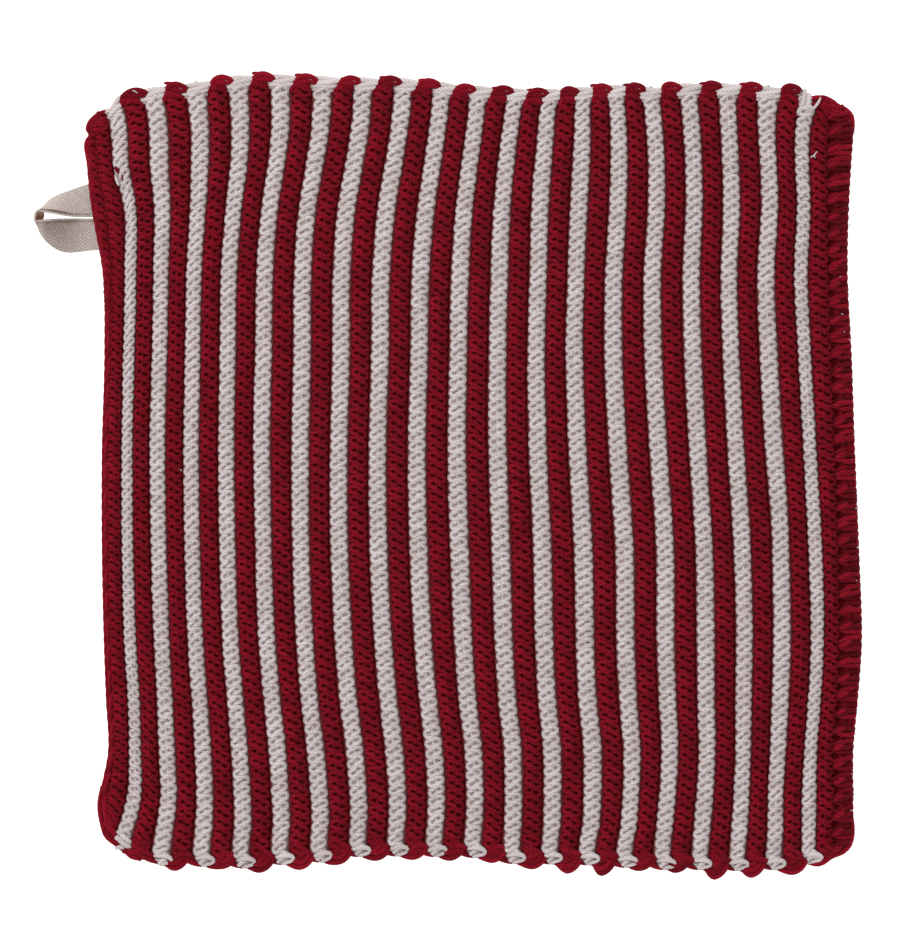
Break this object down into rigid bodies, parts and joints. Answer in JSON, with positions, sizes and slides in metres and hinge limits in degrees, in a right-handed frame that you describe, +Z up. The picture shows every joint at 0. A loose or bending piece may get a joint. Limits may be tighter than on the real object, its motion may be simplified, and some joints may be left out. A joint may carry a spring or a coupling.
{
  "type": "dishcloth",
  "caption": "Square knitted cotton dishcloth lying flat, in dark red and off-white ridged stripes, with a turned hem along one side and a small hanging loop of woven tape at the opposite one.",
  "frame": {"origin": "middle of the footprint, loop included, on the surface the cloth lies on", "axes": "+Z up out of the surface the cloth lies on, +Y along the stripes towards the end the loop is nearer to, +X across the stripes from the loop's edge towards the hem"},
  "size_m": [0.2619, 0.255, 0.0101],
  "materials": {
    "knitted_cotton": "matte garter-knitted cotton yarn, dark red and off-white ridges in turn",
    "cotton_tape": "matte undyed woven twill tape"
  },
  "bodies": {
    "root": {"cloth": "knitted_cotton", "hanging_loop": "cotton_tape"}
  },
  "joints": []
}
